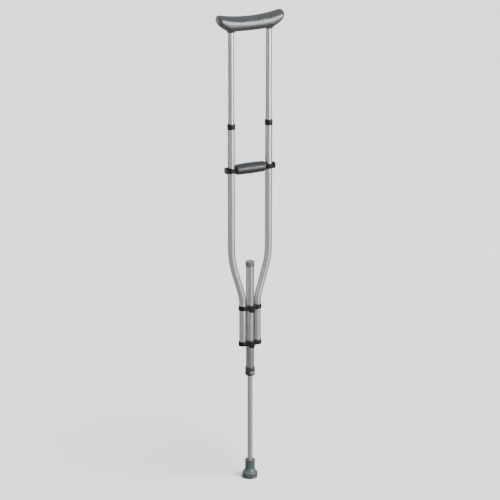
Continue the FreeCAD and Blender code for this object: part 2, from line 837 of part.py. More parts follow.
def leg_release_button():
    """The latch ring round the leg with its push button in front."""
    tall = s.latch_tall - s.moving_gap * 2
    hole = s.leg_radius + s.moving_gap
    body = make_body("leg_release_button")
    plan = latch_plan(
        s.leg_latch_half, -s.latch_shoulder, s.leg_button_half, -s.leg_button_out, 0
    )
    pad(body, "XY_Plane", -tall / 2, tall, plan)
    front = -s.leg_button_out.number
    rounded(body, s.button_round, lambda e: abs(e.BoundBox.YMin - front) < 1e-3 > e.BoundBox.YLength)
    slot = [
        (-hole, -s.leg_travel),
        (hole, -s.leg_travel, (0, -s.leg_travel - hole)),
        (hole, 0),
        (-hole, 0, (0, hole)),
    ]
    pocket(body, "XY_Plane", -tall / 2, tall, slot)
    pin_seat = 4
    behind = -s.leg_latch_half - PAST
    pocket(body, "XZ_Plane", behind, pin_seat + PAST, circle(s.leg_pin_radius))
    return sub_part(body, "leg_release_button", (0, 0, leg_pin_height()))


def leg_lock_pin():
    """The steel pin in the latch ring that enters a hole in the leg's back."""
    sunk = 0.4
    pin = rod("leg_lock_pin", s.leg_pin_radius, s.leg_latch_half - sunk - s.leg_pin_nose)
    return sub_part(pin, "leg_lock_pin", (0, s.leg_pin_nose, leg_pin_height()), AIMED["+Y"])


def leg_spring_front():
    """Where the middle of the leg spring's first turn lies behind the latch ring."""
    return s.leg_latch_half + s.spring_wire + 0.15


def leg_spring_back():
    """Where the leg spring's last turn ends in its well."""
    return leg_spring_front() + s.spring_pitch * SPRING_TURNS_LEG + s.spring_wire


def leg_lock_spring():
    """The spring that holds the locking pin in the leg."""
    at = (0, leg_spring_front(), leg_pin_height())
    return coil_spring("leg_lock_spring", SPRING_TURNS_LEG, at, AIMED["+Y"])


# ---------------------------------------------------------------- the leg


def leg_tube():
    """The tube that slides in the centre tube, with its row of holes behind."""
    body = tube("leg_tube", s.leg_radius, s.leg_wall, s.leg_top - s.leg_bottom)
    lowest = lowest_hole(leg_pin_height(), LEG_HOLES) - s.leg_bottom
    hole = circle(s.leg_pin_radius + PUSH_FIT * 2, 0, lowest)
    hole_row(body, "XZ_Plane", 0, s.leg_radius + PAST, hole, LEG_HOLES, backwards=True)
    return sub_part(body, "leg_tube", (0, 0, s.leg_bottom))


def leg_top_glide():
    """The plastic glide on the leg's top that centres it in the centre tube."""
    outside = s.centre_radius - s.centre_wall - s.running_gap
    edge = 0.5
    roof = s.glide_tall + 1.5
    body = turned(
        "leg_top_glide",
        [
            (s.leg_radius, 0),
            (outside - edge, 0),
            (outside, edge),
            (outside, roof - edge),
            (outside - edge, roof),
            (0, roof),
            (0, s.glide_tall),
            (s.leg_radius, s.glide_tall),
        ],
    )
    return sub_part(body, "leg_top_glide", (0, 0, s.leg_top - s.glide_tall))


def crutch_tip():
    """The rubber tip: a flat treaded foot, a flared skirt and a neck round the leg."""
    neck = s.tip_neck_radius
    foot = s.tip_foot_radius
    bulge = s.tip_bulge_radius
    height = s.tip_bulge_height
    seat = s.leg_bottom - s.washer_thick
    rib_inside, rib_outside, rim_inside = 5.6, 9.4, 13.6
    slope = 0.6
    lip = neck + 0.7
    body = turned(
        "crutch_tip",
        [
            (0, s.tread_deep),
            (rib_inside - slope, s.tread_deep),
            (rib_inside, 0),
            (rib_outside, 0),
            (rib_outside + slope, s.tread_deep),
            (rim_inside - slope, s.tread_deep),
            (rim_inside, 0),
            (foot, 0),
            (foot + 1.4, 1.4, (foot + 1.0, 0.4)),
            (bulge, height),
            (bulge - 1.6, height + 3.2, (bulge - 0.3, height + 1.9)),
            (neck, s.tip_neck_height, (neck + 2.6, s.tip_neck_height - 5.8)),
            (neck, s.tip_tall - 4.5),
            (lip, s.tip_tall - 3.6),
            (lip, s.tip_tall - 0.9),
            (neck - 0.2, s.tip_tall),
            (s.leg_radius, s.tip_tall),
            (s.leg_radius, s.leg_bottom),
            (s.washer_radius, s.leg_bottom),
            (s.washer_radius, seat),
            (0, seat),
        ],
    )
    return sub_part(body, "crutch_tip")


def tip_washer():
    """The steel disc in the tip that stops the leg cutting through the rubber."""
    hole = 3.0
    body = tube("tip_washer", s.washer_radius, s.washer_radius - hole, s.washer_thick)
    return sub_part(body, "tip_washer", (0, 0, s.leg_bottom - s.washer_thick))


# ---------------------------------------------------------------- the underarm piece


def upper_tube(label, side, turn):
    """A tube that carries the underarm piece, with one hole for its snap button."""
    body = tube(label, s.upper_radius, s.upper_wall, s.upper_top - s.upper_bottom)
    reach = s.upper_radius + PAST
    pocket(body, "YZ_Plane", 0, reach, circle(s.snap_hole, 0, s.snap_height - s.upper_bottom))
    rivet = circle(s.bolt_radius, 0, s.tube_rivet_height - s.upper_bottom)
    pocket(body, "XZ_Plane", -reach, reach * 2, rivet)
    return sub_part(body, label, (s.bow_spread * side, 0, s.upper_bottom), turn)


def snap_button(label, side, axis):
    """The button that locks an upper tube in a hole of its bow tube."""
    shoulder = s.upper_radius - s.upper_wall - s.strip_gap
    flange = 1.0
    dome = 1.4
    crown = 0.9
    body = turned(
        label,
        [
            (0, shoulder - flange),
            (s.snap_flange, shoulder - flange),
            (s.snap_flange, shoulder),
            (s.snap_radius, shoulder),
            (s.snap_radius, s.snap_reach - dome),
            (crown, s.snap_reach, (s.snap_radius * 0.76, s.snap_reach - 0.5)),
            (0, s.snap_reach),
        ],
    )
    return sub_part(body, label, (s.bow_spread * side, 0, s.snap_height), AIMED[axis])


def snap_spring(label, side, turn):
    """The bent strip inside an upper tube that pushes its snap button out."""
    strip = s.strip_thick
    crown = s.strip_crown
    turn_radius = 2.0
    bend = crown - turn_radius - 0.2
    wall_side = s.upper_radius - s.upper_wall - s.strip_gap
    button_flange = 1.0
    button_side = wall_side - button_flange - PUSH_FIT
    button_foot, button_end = -5.0, 6.0
    wall_foot, wall_end = -4.0, 2.0
    body = make_body(label)
    outline = [
        (button_side, button_foot),
        (button_side, button_end),
        (turn_radius, bend),
        (-turn_radius, bend, (0, crown)),
        (-wall_side, wall_end),
        (-wall_side, wall_foot),
        (-wall_side + strip, wall_foot),
        (-wall_side + strip, wall_end + 0.1),
        (strip - turn_radius, bend - 0.1),
        (turn_radius - strip, bend - 0.1, (0, crown - strip)),
        (button_side - strip, button_end - 0.1),
        (button_side - strip, button_foot),
    ]
    pad(body, "XZ_Plane", -s.strip_wide / 2, s.strip_wide, outline)
    return sub_part(body, label, (s.bow_spread * side, 0, s.snap_height), turn)


def saddle_outline(half, low, high, low_end, high_end):
    """A bar outline whose top and bottom both curve up towards its ends."""
    return [
        (half, low_end, (0, low)),
        (half, high_end),
        (-half, high_end, (0, high)),
        (-half, low_end),
    ]


def underarm_bar():
    """The stiff bar inside the pad, with a socket for each upper tube."""
    body = make_body("underarm_bar")
    outline = saddle_outline(
        s.bar_half, s.bar_bottom, s.bar_top, s.bar_bottom + s.bar_rise, s.bar_top + s.bar_rise
    )
    pad(body, "XZ_Plane", -s.bar_deep / 2, s.bar_deep, outline)
    sockets = [circle(s.upper_radius, s.bow_spread * side) for side in (-1, 1)]
    below = 5
    pocket(body, "XY_Plane", s.bar_bottom - below, s.upper_top - s.bar_bottom + below, *sockets)
    rivets = [
        circle(s.bolt_radius, s.bow_spread * side, s.tube_rivet_height) for side in (-1, 1)
    ]
    pocket(body, "XZ_Plane", -s.bar_deep / 2 - PAST, s.bar_deep + PAST * 2, *rivets)
    return sub_part(body, "underarm_bar")


def underarm_rivets():
    """A rivet through the bar and each upper tube."""
    rivets = []
    half = s.bar_deep / 2
    crown = 1.2
    dome = 1.8
    shoulder = (s.head_radius * 0.68, half + dome * 0.7)
    for side in (-1, 1):
        body = turned(
            f"underarm_rivet_{len(rivets) + 1}",
            [
                (0, -half - dome),
                (crown, -half - dome),
                (s.head_radius, -half, (shoulder[0], -shoulder[1])),
                (s.bolt_radius, -half),
                (s.bolt_radius, half),
                (s.head_radius, half),
                (crown, half + dome, shoulder),
                (0, half + dome),
            ],
        )
        rivets.append(put(body, (s.bow_spread * side, 0, s.tube_rivet_height), AIMED["+Y"]))
    return group("underarm_rivets", rivets)


def underarm_pad():
    """The soft saddle over the bar, open below where the upper tubes enter."""
    body = make_body("underarm_pad")
    outline = [
        (s.pad_knee, s.pad_knee_bottom, (0, s.pad_bottom)),
        (s.pad_half, s.pad_end_bottom),
        (s.pad_half, s.pad_end_top),
        (-s.pad_half, s.pad_end_top, (0, s.pad_top)),
        (-s.pad_half, s.pad_end_bottom),
        (-s.pad_knee, s.pad_knee_bottom),
    ]
    pad(body, "XZ_Plane", -s.pad_deep / 2, s.pad_deep, outline)
    faces = s.pad_deep.number / 2
    rounded(body, s.pad_round, lambda e: e.BoundBox.YLength < 1e-3 and e.BoundBox.XLength > faces)
    cavity = saddle_outline(
        s.bar_half, s.bar_bottom, s.bar_top, s.bar_bottom + s.bar_rise, s.bar_top + s.bar_rise
    )
    pocket(body, "XZ_Plane", -s.bar_deep / 2, s.bar_deep, cavity)
    soft_gap = 0.2
    way_in = s.upper_radius + soft_gap
    above_bar = s.bar_bottom + 10
    ways_in = [circle(way_in, s.bow_spread * side) for side in (-1, 1)]
    pocket(body, "XY_Plane", s.pad_bottom - PAST, above_bar - s.pad_bottom + PAST, *ways_in)
    head = s.head_radius + soft_gap
    deep = s.bar_deep + 4
    rivets = [circle(head, s.bow_spread * side, s.tube_rivet_height) for side in (-1, 1)]
    pocket(body, "XZ_Plane", -deep / 2, deep, *rivets)
    return sub_part(body, "underarm_pad")


# ---------------------------------------------------------------- the handle


def handle_clip(label, side, turn):
    """The moulding round a bow tube that guides a latch and carries the handle's core."""
    half = s.clip_half
    tall = s.clip_tall
    centre = -s.handle_travel
    chamber = s.clip_latch_half + s.moving_gap
    mouth = s.push_out - s.push_thick - s.moving_gap - s.handle_travel
    body = make_body(label)
    plan = [
        (centre, -half, (centre - half, 0)),
        (s.clip_narrows, -half),
        (mouth, -s.clip_mouth_half),
        (mouth, s.clip_mouth_half),
        (s.clip_narrows, half),
        (centre, half),
    ]
    pad(body, "XY_Plane", -tall / 2, tall, plan)
    edge = 1.3
    rounded(body, edge, across_z)
    spigot = circle(s.core_bore)
    rooted = 1.0
    pad(body, "YZ_Plane", -s.spigot_end, s.spigot_end + centre - half + rooted, spigot)
    cavity = [
        (centre, -chamber, (centre - chamber, 0)),
        (s.push_out, -chamber),
        (s.push_out, chamber),
        (centre, chamber),
    ]
    pocket(body, "XY_Plane", -s.latch_tall / 2, s.latch_tall, cavity)
    tube_way = circle(s.bow_radius + s.moving_gap)
    pocket(body, "XY_Plane", -tall / 2 - PAST, tall + PAST * 2, tube_way)
    well_deep = 9
    well_end = handle_spring_back() - s.moving_gap
    pocket(body, "YZ_Plane", well_end, well_deep, circle(s.spring_well))
    pin = circle(s.rivet_radius, -s.cross_pin_in, 0)
    pocket(body, "XY_Plane", -s.core_bore - PAST, (s.core_bore + PAST) * 2, pin)
    return sub_part(body, label, (s.bow_spread * side, 0, s.handle_height), turn)


def handle_button(label, side, turn):
    """The latch ring round a bow tube with its push button outside the bow."""
    tall = s.latch_tall - s.moving_gap * 2
    half = s.clip_latch_half
    hole = s.bow_radius + s.moving_gap
    face = s.push_out - s.push_thick
    body = make_body(label)
    plan = [
        (0, -half, (-half, 0)),
        (s.ring_narrows, -half),
        (face, -s.ring_neck_half),
        (face, s.ring_neck_half),
        (s.ring_narrows, half),
        (0, half),
    ]
    pad(body, "XY_Plane", -tall / 2, tall, plan)
    wide = s.push_half
    high = s.push_tall / 2
    corner = 3.0
    bulge = corner * 0.3
    head = [
        (-wide, -high + corner),
        (-wide + corner, -high, (-wide + bulge, -high + bulge)),
        (wide - corner, -high),
        (wide, -high + corner, (wide - bulge, -high + bulge)),
        (wide, high - corner),
        (wide - corner, high, (wide - bulge, high - bulge)),
        (-wide + corner, high),
        (-wide, high - corner, (-wide + bulge, high - bulge)),
    ]
    pad(body, "YZ_Plane", face, s.push_thick, head)
    outside = s.push_out.number
    rounded(body, s.button_round, lambda e: abs(e.BoundBox.XMin - outside) < 1e-3 > e.BoundBox.XLength)
    pocket(body, "XY_Plane", -tall / 2, tall, stadium(hole, 0, s.handle_travel))
    pin_seat = 5
    pocket(body, "YZ_Plane", -half - PAST, pin_seat + PAST, circle(s.handle_pin_radius))
    return sub_part(body, label, (s.bow_spread * side, 0, s.handle_height), turn)


def handle_lock_pin(label, side, axis):
    """The steel pin in a latch ring that enters a hole in the bow tube's inner side."""
    sunk = 0.4
    tail = s.clip_latch_half - sunk
    nose = s.bow_radius - s.bow_wall + PUSH_FIT
    pin = rod(label, s.handle_pin_radius, tail - nose)
    return sub_part(pin, label, ((s.bow_spread - tail) * side, 0, s.handle_height), AIMED[axis])


def handle_spring_front():
    """Where the middle of a handle spring's first turn lies, from the bow tube's axis."""
    return -(s.clip_latch_half + s.spring_wire - 0.2)


def handle_spring_back():
    """Where a handle spring's last turn ends in its well, from the bow tube's axis."""
    return handle_spring_front() - s.spring_pitch * SPRING_TURNS_HANDLE - s.spring_wire


def handle_lock_spring(label, side, axis):
    """The spring that holds a handle pin in its bow tube."""
    first = (s.bow_spread + handle_spring_front()) * side
    return coil_spring(label, SPRING_TURNS_HANDLE, (first, 0, s.handle_height), AIMED[axis])


def handle_core():
    """The tube through the hand grip that joins the two clips."""
    body = tube("handle_core", s.core_radius, s.core_radius - s.core_bore, s.core_half * 2)
    from_end = s.core_half - (s.bow_spread - s.cross_pin_in)
    pins = [circle(s.rivet_radius, 0, place) for place in (from_end, s.core_half * 2 - from_end)]
    pocket(body, "YZ_Plane", -s.core_radius - PAST, (s.core_radius + PAST) * 2, *pins)
    return sub_part(body, "handle_core", (-s.core_half, 0, s.handle_height), AIMED["+X"])


def handle_pins():
    """The cross pins that hold the core on the clips' spigots."""
    pins = []
    sunk = 0.5
    half = s.core_radius - sunk
    for side, name in ((-1, "left_handle_pin"), (1, "right_handle_pin")):
        pin = rod(name, s.rivet_radius, half * 2)
        where = (s.bow_spread - s.cross_pin_in) * side
        pins.append(put(pin, (where, 0, s.handle_height - half)))
    return group("handle_pins", pins)


def hand_grip():
    """The soft barrel-shaped sleeve on the core, hollowed where the clips enter it."""
    half = s.grip_half
    end = s.grip_end_radius
    edge = 1.5
    inset = edge * 0.3
    body = turned(
        "hand_grip",
        [
            (s.core_radius, -half),
            (end - edge, -half),
            (end, -half + edge, (end - inset, -half + inset)),
            (end, half - edge, (s.grip_radius, 0)),
            (end - edge, half, (end - inset, half - inset)),
            (s.core_radius, half),
        ],
    )
    recess = s.clip_half + s.moving_gap
    centre = s.bow_spread - s.handle_travel
    deep = s.clip_tall / 2 + s.moving_gap
    for place in (centre, -centre):
        pocket(body, "YZ_Plane", -deep, deep * 2, circle(recess, 0, place))
    return sub_part(body, "hand_grip", (0, 0, s.handle_height), AIMED["+X"])


# ---------------------------------------------------------------- the whole crutch


def build_frame():
    centre_tube()
    centre_tube_cap()
    for level, height in (("lower", s.lower_clamp_height), ("upper", s.upper_clamp_height)):
        clamp_half(f"{level}_clamp_front", height, front=True)
        clamp_half(f"{level}_clamp_back", height, front=False)
    clamp_bolts()
    clamp_nuts()
    bow_end_plugs()
    lower_collar()
    lower_collar_cap()
    leg_guide_bush()
    collar_pins()


def build_leg():
    leg_tube()
    leg_top_glide()
    crutch_tip()
    tip_washer()
    leg_release_button()
    leg_lock_pin()
    leg_lock_spring()


def build_underarm():
    underarm_bar()
    underarm_rivets()
    underarm_pad()


def build_handle():
    handle_core()
    handle_pins()
    hand_grip()


def build_pair(name, side, outwards, inwards, turn):
    """Everything that the crutch has once on its left and once on its right."""
    bow_tube(f"{name}_bow_tube", turn)
    upper_collar(f"{name}_upper_collar", side)
    upper_tube(f"{name}_upper_tube", side, turn)
    snap_button(f"{name}_snap_button", side, outwards)
    snap_spring(f"{name}_snap_spring", side, turn)
    handle_clip(f"{name}_handle_clip", side, turn)
    handle_button(f"{name}_handle_button", side, turn)
    handle_lock_pin(f"{name}_handle_lock_pin", side, outwards)
    handle_lock_spring(f"{name}_handle_spring", side, inwards)


def check_and_export():
    """Stops if anything failed, then writes one STEP file for each sub-part."""
    doc.recompute()
    failed = [o.Name for o in doc.Objects if {"Invalid", "Error"} & set(o.State)]
    if failed:
        raise RuntimeError(f"failed objects: {failed}")
    for item in sub_parts:
        shape = item.Shape
        if shape.isNull() or not shape.isValid() or not shape.Solids:
            raise RuntimeError(f"{item.Label} has no valid solid")
    os.makedirs("parts", exist_ok=True)
    for item in sub_parts:
        item.Shape.exportStep(f"parts/{item.Label}.step")
        solids = len(item.Shape.Solids)
        print(f"{item.Label}: {solids} solid(s), {item.Shape.Volume / 1000:.2f} cm3")
    print(f"{len(sub_parts)} sub-parts")


build_frame()
build_leg()
build_underarm()
build_handle()
build_pair("left", -1, "-X", "+X", HALF_TURN)
build_pair("right", 1, "+X", "-X", NO_TURN)
check_and_export()
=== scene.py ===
import json
import math
from collections import namedtuple

import bmesh
import bpy
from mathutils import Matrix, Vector
from mathutils.bvhtree import BVHTree


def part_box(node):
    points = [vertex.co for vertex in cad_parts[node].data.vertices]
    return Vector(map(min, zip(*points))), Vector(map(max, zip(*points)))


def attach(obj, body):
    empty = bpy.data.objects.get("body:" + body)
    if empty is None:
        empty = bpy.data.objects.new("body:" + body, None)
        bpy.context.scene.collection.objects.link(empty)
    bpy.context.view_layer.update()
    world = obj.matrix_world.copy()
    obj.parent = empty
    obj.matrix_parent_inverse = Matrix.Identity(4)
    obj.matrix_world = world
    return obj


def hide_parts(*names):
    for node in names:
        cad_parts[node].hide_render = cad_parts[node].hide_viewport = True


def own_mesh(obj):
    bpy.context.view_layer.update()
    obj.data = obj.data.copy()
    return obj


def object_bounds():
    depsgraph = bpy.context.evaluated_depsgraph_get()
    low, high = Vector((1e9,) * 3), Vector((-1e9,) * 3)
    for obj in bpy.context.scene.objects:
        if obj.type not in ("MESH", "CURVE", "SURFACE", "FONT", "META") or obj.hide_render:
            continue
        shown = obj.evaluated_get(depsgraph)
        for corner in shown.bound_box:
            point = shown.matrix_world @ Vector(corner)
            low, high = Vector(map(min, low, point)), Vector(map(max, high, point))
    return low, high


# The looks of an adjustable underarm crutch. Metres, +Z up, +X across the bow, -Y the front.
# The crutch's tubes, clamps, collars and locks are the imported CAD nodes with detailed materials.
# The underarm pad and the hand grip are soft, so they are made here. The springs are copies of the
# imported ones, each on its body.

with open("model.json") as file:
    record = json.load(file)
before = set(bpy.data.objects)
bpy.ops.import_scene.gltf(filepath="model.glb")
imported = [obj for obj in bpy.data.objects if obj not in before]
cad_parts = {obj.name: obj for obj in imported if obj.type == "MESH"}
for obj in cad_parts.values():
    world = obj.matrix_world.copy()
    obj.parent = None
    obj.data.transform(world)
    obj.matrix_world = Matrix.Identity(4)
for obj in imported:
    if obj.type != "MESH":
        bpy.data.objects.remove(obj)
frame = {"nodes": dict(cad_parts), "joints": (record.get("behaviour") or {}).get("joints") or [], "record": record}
CAD_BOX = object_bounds()

NODES = frame["nodes"]
MOUNTS = {mount["name"]: Vector(mount["pos_m"]) for mount in frame["record"]["mounts"]}
TRAVEL = {joint["name"]: joint["range_m"] for joint in frame["joints"]}
SIDES = {"left": -1, "right": 1}
HOLE_PITCH = 0.0254


def low(node):
    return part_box(node)[0]


def high(node):
    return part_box(node)[1]


def middle(node):
    return (low(node) + high(node)) / 2


# ---------------------------------------------------------------- materials

# A row of holes in a tube: the axis that it faces, the tube's middle on that axis, 1 where it
# faces away from x or y = 0 and -1 where it faces it, the lowest hole's height, and how many.
# The bow's tubes are twins, so an x here is a distance from x = 0.
HoleRow = namedtuple("HoleRow", "faces middle side lowest count")
RIM_INNER, RIM_OUTER = 0.0032, 0.0044  # radii between which a burnished rim fades out


def hole_row(faces, middle, side, lowest, joint):
    """A row with a hole for each pitch of a joint's travel."""
    start, end = TRAVEL[joint]
    return HoleRow(faces, middle, side, lowest, round((end - start) / HOLE_PITCH) + 1)


class Finish:
    """A material with a Principled shader, and short calls that add nodes to it."""

    def __init__(self, name, **sockets):
        self.material = bpy.data.materials.new(name)
        self.material.use_nodes = True
        self.tree = self.material.node_tree
        self.shader = self.tree.nodes["Principled BSDF"]
        for socket, value in sockets.items():
            self.shader.inputs[socket.replace("_", " ")].default_value = value
        self.place = self.add("TexCoord").outputs["Object"]

    def add(self, kind, **settings):
        node = self.tree.nodes.new("ShaderNode" + kind)
        for key, value in settings.items():
            setattr(node, key, value)
        return node

    def feed(self, socket, value):
        """Links an output to a socket, or sets the socket to a plain value."""
        if isinstance(value, bpy.types.NodeSocket):
            self.tree.links.new(value, socket)
        elif isinstance(value, tuple) and len(socket.default_value) == 4:
            socket.default_value = (*value, 1.0)
        else:
            socket.default_value = value

    def math(self, operation, one, other=0.0):
        node = self.add("Math", operation=operation)
        self.feed(node.inputs[0], one)
        self.feed(node.inputs[1], other)
        return node.outputs[0]

    def plus(self, one, other):
        return self.math("ADD", one, other)

    def minus(self, one, other):
        return self.math("SUBTRACT", one, other)

    def times(self, one, other):
        return self.math("MULTIPLY", one, other)

    def scaled(self, scale):
        """The piece's own coordinates, scaled along each axis."""
        node = self.add("Mapping")
        self.feed(node.inputs["Vector"], self.place)
        node.inputs["Scale"].default_value = scale
        return node.outputs[0]

    def noise(self, scale, detail=3.0, stretch=(1.0, 1.0, 1.0), warp=0.0):
        """Noise from 0 to 1 whose features are about 1/scale metres."""
        node = self.add("TexNoise")
        self.feed(node.inputs["Vector"], self.scaled(stretch))
        node.inputs["Scale"].default_value = scale
        node.inputs["Detail"].default_value = detail
        node.inputs["Roughness"].default_value = 0.55
        node.inputs["Distortion"].default_value = warp
        return node.outputs["Fac"]

    def cells(self, scale):
        """Distance to the nearest point of a random scatter, about 1/scale metres apart."""
        node = self.add("TexVoronoi", feature="F1")
        self.feed(node.inputs["Vector"], self.place)
        node.inputs["Scale"].default_value = scale
        return node.outputs["Distance"]

    def span(self, value, start, end, to_start=0.0, to_end=1.0):
        """Maps start..end smoothly onto to_start..to_end, and holds outside."""
        node = self.add("MapRange", interpolation_type="SMOOTHSTEP")
        self.feed(node.inputs["Value"], value)
        node.inputs["From Min"].default_value = start
        node.inputs["From Max"].default_value = end
        node.inputs["To Min"].default_value = to_start
        node.inputs["To Max"].default_value = to_end
        return node.outputs[0]

    def mix(self, share, one, other):
        node = self.add("Mix", data_type="RGBA")
        self.feed(node.inputs["Factor"], share)
        self.feed(node.inputs[6], one)
        self.feed(node.inputs[7], other)
        return node.outputs[2]

    def axes(self):
        """The piece's own x, y and z, each as an output."""
        node = self.add("SeparateXYZ")
        self.feed(node.inputs[0], self.place)
        return node.outputs[:3]

    def rims(self, row):
        """1 at the rims of a row of holes, and 0 away from them."""
        x, y, z = self.axes()
        facing, across = (self.math("ABSOLUTE", x), y) if row.faces == "x" else (y, x)
        beyond = self.times(self.minus(facing, row.middle), row.side)
        above_lowest = self.minus(z, row.lowest)
        nearest = self.math("ROUND", self.math("DIVIDE", above_lowest, HOLE_PITCH))
        nearest = self.math("MINIMUM", self.math("MAXIMUM", nearest, 0.0), row.count - 1.0)
        up = self.minus(above_lowest, self.times(nearest, HOLE_PITCH))
        squares = self.plus(self.math("POWER", up, 2.0), self.math("POWER", across, 2.0))
        rim = self.span(self.math("SQRT", squares), RIM_INNER, RIM_OUTER, 1.0, 0.0)
        return self.times(rim, self.math("GREATER_THAN", beyond, 0.0))

    def colour(self, value):
        self.feed(self.shader.inputs["Base Color"], value)

    def roughness(self, value):
        self.feed(self.shader.inputs["Roughness"], value)

    def bumps(self, *layers):
        """Adds bump layers, each (height, depth in metres)."""
        normal = None
        for height, depth in layers:
            node = self.add("Bump")
            node.inputs["Strength"].default_value = 1.0
            node.inputs["Distance"].default_value = depth
            self.feed(node.inputs["Height"], height)
            if normal is not None:
                self.feed(node.inputs["Normal"], normal)
            normal = node.outputs[0]
        self.feed(self.shader.inputs["Normal"], normal)


def grey(level, tint=(0.0, 0.0, 0.0)):
    """A grey with a tint added to its red, green and blue."""
    return tuple(level + part for part in tint)


DRAWN = 0.012  # width against length of the marks that drawing leaves along a tube
SLEEVE_FADE = 0.02  # a rubbed stretch fades in and out over this length
PAINTED_SHADE_FADE = 0.004  # half the height over which the painted shade below the lower clamp fades in


def aluminium(name, along, holes=(), rubbed=None, shade=1.0, painted_shade_below=None):
    """Satin anodised tube, drawn along one axis. holes are rows of holes with burnished rims.
    rubbed is a height range where a sleeve slides over the tube. shade below 1 darkens all its
    greys, a painted shade, and under the height given last the colour is painted darker still, also a painted
    shade."""
    finish = Finish(name, Metallic=1.0)
    stretch = tuple(DRAWN if axis == along else 1.0 for axis in "xyz")
    drawn = finish.noise(2600, detail=2.0, stretch=stretch)
    fine = finish.noise(7000, detail=1.0, stretch=stretch)
    clouds = finish.noise(9, detail=4.0, warp=0.4)
    marks = finish.span(finish.noise(420, detail=1.0, stretch=stretch), 0.70, 0.78)
    handled = finish.span(finish.noise(28, detail=5.0), 0.5, 0.68)
    # With shade below 1 every grey of the tube is darker, a painted shade.
    light = grey(0.60 * shade, (0, 0.003, 0.008))
    dark = grey(0.46 * shade, (0, 0.003, 0.007))
    base = finish.mix(finish.span(drawn, 0.25, 0.75), dark, light)
    base = finish.mix(finish.times(clouds, 0.35), base, grey(0.50 * shade, (0, 0.002, 0.005)))
    base = finish.mix(finish.times(marks, 0.35), base, grey(0.34 * shade))
    rough = finish.plus(finish.span(drawn, 0.2, 0.8, 0.30, 0.42), finish.times(handled, 0.07))
    z = finish.axes()[2]
    for row in holes:
        rim = finish.rims(row)
        base = finish.mix(finish.times(rim, 0.5), base, grey(0.78))
        rough = finish.minus(rough, finish.times(rim, 0.08))
    if rubbed:
        start, end = rubbed
        above_start = finish.span(z, start, start + SLEEVE_FADE)
        below_end = finish.span(z, end - SLEEVE_FADE, end, 1.0, 0.0)
        there = finish.times(above_start, below_end)
        streaks = finish.span(finish.noise(900, detail=2.0, stretch=stretch), 0.48, 0.62)
        worn = finish.times(there, streaks)
        base = finish.mix(finish.times(worn, 0.30), base, grey(0.32 * shade))
        rough = finish.plus(rough, finish.times(worn, 0.06))
    # Painted shade: under the given height the colour is mixed towards a dark grey, for the shade on the stretch
    # below the lower clamp.
    if painted_shade_below:
        under = finish.span(z, painted_shade_below - PAINTED_SHADE_FADE, painted_shade_below + PAINTED_SHADE_FADE, 1.0, 0.0)
        base = finish.mix(finish.times(under, 0.65), base, grey(0.22, (0, 0.002, 0.004)))
    finish.colour(base)
    finish.roughness(rough)
    finish.bumps((drawn, 0.00003), (fine, 0.00001), (marks, -0.00002))
    return finish.material


def moulded(name, level, tint=(0.0, 0.0, 0.0), rough=0.46, grain=0.00005, shine=0.5):
    """Injection-moulded plastic with a fine spark-eroded skin and light scuffs."""
    finish = Finish(name, Specular_IOR_Level=shine)
    skin = finish.noise(3600, detail=2.0)
    clouds = finish.noise(60, detail=4.0)
    scuffs = finish.span(finish.noise(700, detail=2.0, stretch=(1.0, 0.25, 0.08)), 0.62, 0.74)
    base = finish.mix(clouds, grey(level * 0.82, tint), grey(level * 1.2, tint))
    base = finish.mix(finish.times(finish.span(skin, 0.3, 0.7), 0.4), base, grey(level * 0.7, tint))
    base = finish.mix(finish.times(scuffs, 0.18), base, grey(level * 2.2 + 0.01, tint))
    finish.colour(base)
    worn = finish.times(scuffs, 0.12)
    finish.roughness(finish.plus(finish.span(clouds, 0.3, 0.7, rough - 0.05, rough + 0.05), worn))
    finish.bumps((clouds, 0.00015), (skin, grain))
    return finish.material


def foam(name, level, tint, cell, rough, shine):
    """Skinned closed-cell foam rubber: a pebbled skin with pores here and there, worn shinier
    where it is leaned on."""
    finish = Finish(name, Specular_IOR_Level=shine)
    pebbles = finish.cells(cell)
    pores = finish.span(finish.cells(cell * 0.45), 0.10, 0.22, 1.0, 0.0)
    soft = finish.noise(220, detail=3.0)
    clouds = finish.noise(24, detail=4.0, warp=0.3)
    base = finish.mix(clouds, grey(level * 0.84, tint), grey(level * 1.16, tint))
    base = finish.mix(finish.times(pebbles, 0.35), base, grey(level * 0.62, tint))
    base = finish.mix(finish.times(pores, 0.55), base, grey(level * 0.35, tint))
    finish.colour(base)
    leaned = finish.span(finish.noise(40, detail=2.0), 0.45, 0.65)
    finish.roughness(finish.minus(rough, finish.times(leaned, 0.12)))
    finish.bumps((soft, 0.00035), (pebbles, 0.00012), (pores, -0.00012))
    finish.shader.inputs["Sheen Weight"].default_value = 0.12
    finish.shader.inputs["Sheen Roughness"].default_value = 0.5
    return finish.material


DUST_HEIGHT = 0.022


def rubber(name, level, tint):
    """Moulded rubber with a bloom of dust that gathers near the floor."""
    finish = Finish(name, Specular_IOR_Level=0.7)
    skin = finish.noise(1500, detail=3.0)
    clouds = finish.noise(70, detail=4.0, warp=0.5)
    low_down = finish.span(finish.axes()[2], 0.0, DUST_HEIGHT, 1.0, 0.0)
    dust = finish.times(low_down, finish.span(finish.noise(160, detail=5.0), 0.40, 0.70))
    base = finish.mix(clouds, grey(level * 0.80, tint), grey(level * 1.20, tint))
    base = finish.mix(finish.times(finish.span(skin, 0.3, 0.7), 0.3), base, grey(level * 0.7, tint))
    base = finish.mix(finish.times(dust, 0.45), base, (0.30, 0.29, 0.27))
    finish.colour(base)
    polish = finish.span(clouds, 0.3, 0.7, 0.42, 0.54)
    finish.roughness(finish.plus(polish, finish.times(dust, 0.15)))
    finish.bumps((clouds, 0.00025), (skin, 0.00010))
    return finish.material


